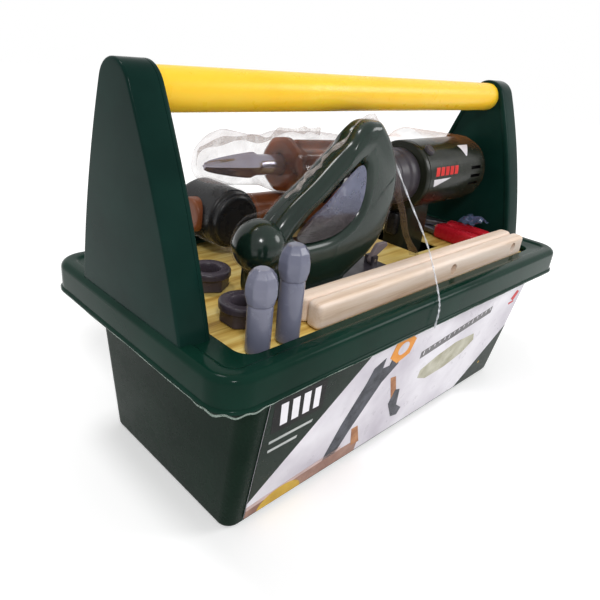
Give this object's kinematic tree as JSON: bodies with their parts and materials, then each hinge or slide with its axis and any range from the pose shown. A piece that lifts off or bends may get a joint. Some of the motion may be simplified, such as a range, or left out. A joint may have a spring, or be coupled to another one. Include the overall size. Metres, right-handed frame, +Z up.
{
  "type": "toy tool box",
  "caption": "Open moulded toy tote with a turning carry bar between two uprights, filled with toy tools that lift out, on a card insert",
  "frame": {"origin": "middle of the tub's underside, on the surface it stands on", "axes": "+X runs along the carry bar towards the drill, -Y is the front with the label, +Z is up"},
  "size_m": [0.34, 0.1736, 0.2345],
  "materials": {
    "green": "glossy dark green moulding",
    "tool_green": "glossy dark green moulding",
    "yellow": "smooth yellow",
    "dark_grey": "satin dark grey",
    "black": "satin black",
    "blue_grey": "satin blue grey",
    "light_grey": "satin light grey",
    "silver": "silver coloured plastic",
    "steel": "plain steel",
    "amber": "clear amber brown",
    "brown": "satin red brown",
    "red": "glossy red",
    "wood": "plain sanded pale wood",
    "card": "printed card, golden",
    "label": "printed paper label"
  },
  "bodies": {
    "box": {"tub": "green", "top_frame": "green", "left_upright_shell": "green", "left_upright_cover": "green", "left_upright_screw_front": "steel", "left_upright_screw_back": "steel", "right_upright_shell": "green", "right_upright_cover": "green", "right_upright_screw_front": "steel", "right_upright_screw_back": "steel", "front_label": "label", "card_insert": "card"},
    "carry_bar": {"carry_bar": "yellow"},
    "plane": {"plane_front_shell": "tool_green", "plane_back_shell": "tool_green", "plane_shoe": "dark_grey", "plane_drum_axle": "steel", "plane_lever_pin": "steel"},
    "plane_knob": {"plane_knob": "tool_green"},
    "plane_trigger": {"plane_trigger": "dark_grey"},
    "plane_drum": {"plane_drum": "steel"},
    "plane_lever": {"plane_lever": "light_grey"},
    "drill": {"drill_front_shell": "tool_green", "drill_back_shell": "tool_green", "drill_gearcase": "dark_grey", "drill_motor": "steel"},
    "chuck": {"drill_chuck": "dark_grey", "drill_bit": "steel", "drill_spindle": "steel"},
    "drill_trigger": {"drill_trigger": "dark_grey"},
    "drill_button": {"drill_button": "dark_grey"},
    "mallet": {"mallet_head": "black", "mallet_handle": "brown"},
    "screwdriver": {"screwdriver_handle": "amber", "screwdriver_shank": "silver"},
    "pliers": {"pliers_left_half": "dark_grey", "pliers_left_half_grip": "red", "pliers_pin": "steel"},
    "pliers_right": {"pliers_right_half": "dark_grey", "pliers_right_half_grip": "red"},
    "strip_1": {"wood_strip_1": "wood"},
    "strip_2": {"wood_strip_2": "wood"},
    "bolt_1": {"toy_bolt_1": "blue_grey"},
    "bolt_2": {"toy_bolt_2": "blue_grey"},
    "nut_1": {"toy_nut_1": "dark_grey"},
    "nut_2": {"toy_nut_2": "dark_grey"}
  },
  "joints": [
    {"name": "bar_turn", "type": "hinge", "parent": "box", "child": "carry_bar", "pos_m": [0, 0, 0.2222], "axis": [1, 0, 0], "continuous": true},
    {"name": "plane_lift", "type": "slide", "parent": "box", "child": "plane", "axis": [0, -0.3746, 0.9272], "range_m": [0, 0.09]},
    {"name": "plane_knob_turn", "type": "hinge", "parent": "plane", "child": "plane_knob", "pos_m": [-0.099, -0.021, 0.146], "axis": [0, 0, 1], "range_deg": [0, 270]},
    {"name": "plane_trigger_press", "type": "slide", "parent": "plane", "child": "plane_trigger", "axis": [-0.6157, 0, 0.788], "range_m": [0, 0.003], "stiffness_N_per_m": 150},
    {"name": "plane_drum_turn", "type": "hinge", "parent": "plane", "child": "plane_drum", "pos_m": [-0.048, -0.021, 0.1172], "axis": [0, 1, 0], "continuous": true},
    {"name": "plane_lever_turn", "type": "hinge", "parent": "plane", "child": "plane_lever", "pos_m": [0.0035, -0.021, 0.1184], "axis": [0, 1, 0], "range_deg": [0, 20]},
    {"name": "drill_lift", "type": "slide", "parent": "box", "child": "drill", "axis": [0, 0.6293, 0.7771], "range_m": [0, 0.075]},
    {"name": "chuck_turn", "type": "hinge", "parent": "drill", "child": "chuck", "pos_m": [0.054, 0.004, 0.166], "axis": [1, 0, 0], "continuous": true},
    {"name": "drill_trigger_press", "type": "slide", "parent": "drill", "child": "drill_trigger", "axis": [1, 0, 0], "range_m": [0, 0.004], "stiffness_N_per_m": 150},
    {"name": "drill_button_press", "type": "slide", "parent": "drill", "child": "drill_button", "axis": [0, 0.6018, -0.7986], "range_m": [0, 0.002], "stiffness_N_per_m": 150},
    {"name": "mallet_lift", "type": "slide", "parent": "box", "child": "mallet", "axis": [0, 0.6293, 0.7771], "range_m": [0, 0.08]},
    {"name": "screwdriver_lift", "type": "slide", "parent": "mallet", "child": "screwdriver", "axis": [0, 0, 1], "range_m": [0, 0.06]},
    {"name": "pliers_lift", "type": "slide", "parent": "box", "child": "pliers", "axis": [0, 0, 1], "range_m": [0, 0.015]},
    {"name": "pliers_open", "type": "hinge", "parent": "pliers", "child": "pliers_right", "pos_m": [0.12, 0.018, 0.1136], "axis": [0, 0, 1], "range_deg": [0, 8]},
    {"name": "strip_1_lift", "type": "slide", "parent": "box", "child": "strip_1", "axis": [0, 0, 1], "range_m": [0, 0.06]},
    {"name": "strip_2_lift", "type": "slide", "parent": "box", "child": "strip_2", "axis": [0, 0, 1], "range_m": [0, 0.06]},
    {"name": "bolt_1_lift", "type": "slide", "parent": "box", "child": "bolt_1", "axis": [0, 0, 1], "range_m": [0, 0.05]},
    {"name": "bolt_2_lift", "type": "slide", "parent": "box", "child": "bolt_2", "axis": [0, 0, 1], "range_m": [0, 0.05]},
    {"name": "nut_1_lift", "type": "slide", "parent": "box", "child": "nut_1", "axis": [-0.35, 0, 0.9367], "range_m": [0, 0.045]},
    {"name": "nut_2_lift", "type": "slide", "parent": "box", "child": "nut_2", "axis": [0, 0, 1], "range_m": [0, 0.06]}
  ]
}
